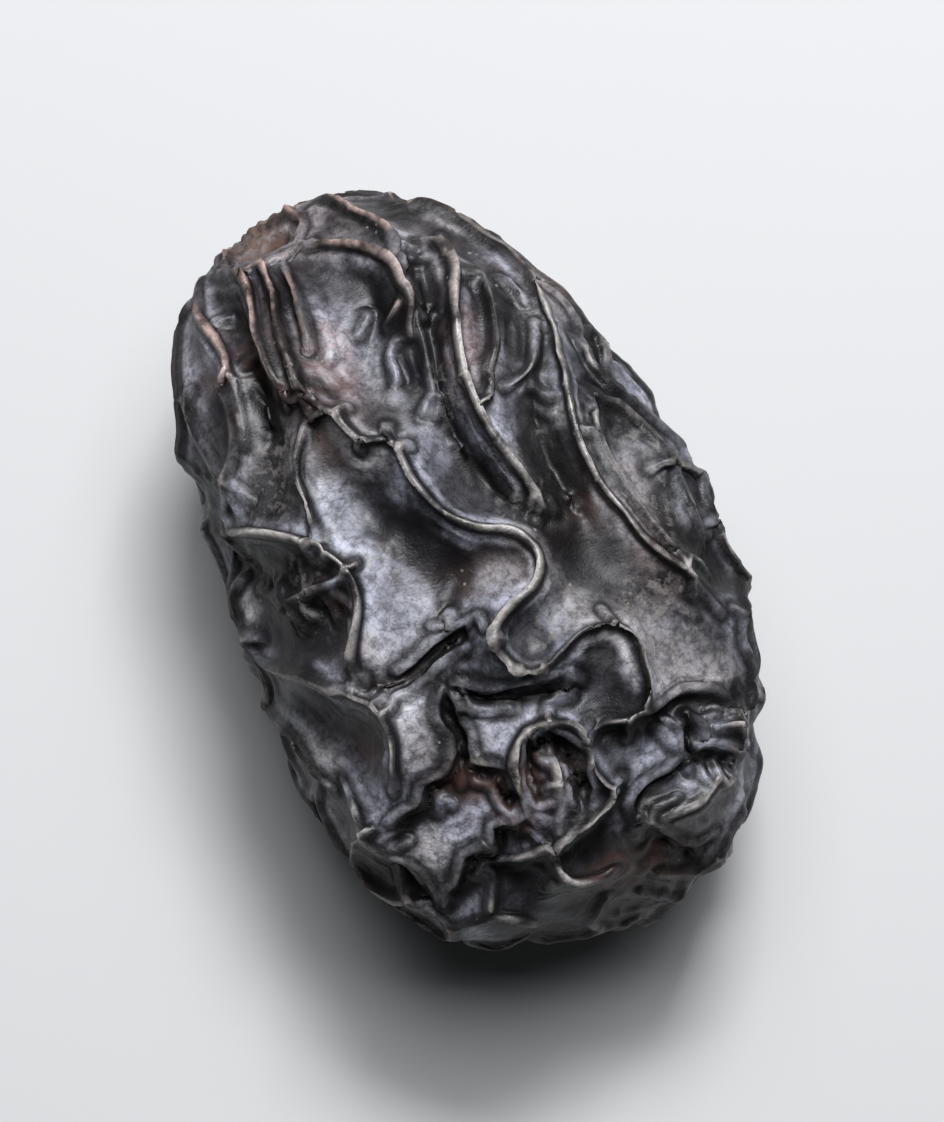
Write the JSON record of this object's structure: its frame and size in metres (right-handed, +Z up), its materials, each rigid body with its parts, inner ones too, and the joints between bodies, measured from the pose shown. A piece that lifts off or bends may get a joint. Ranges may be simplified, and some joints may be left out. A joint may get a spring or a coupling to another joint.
{
  "type": "ajwa date",
  "caption": "Dried date fruit lying on its side, near-black, its soft skin shrunk into sharp winding folds round smooth satin panels, with a sunken stem scar at one end",
  "frame": {"origin": "on the ground, under the middle of the fruit's outline", "axes": "+Y runs along the fruit toward its stem end, +Z is up, out of the side that the picture shows"},
  "size_m": [0.0202, 0.0326, 0.0185],
  "materials": {
    "date_skin": "satin, near-black with a cool grey bloom, pale and worn along the folds"
  },
  "bodies": {
    "root": {"date": "date_skin"}
  },
  "joints": []
}
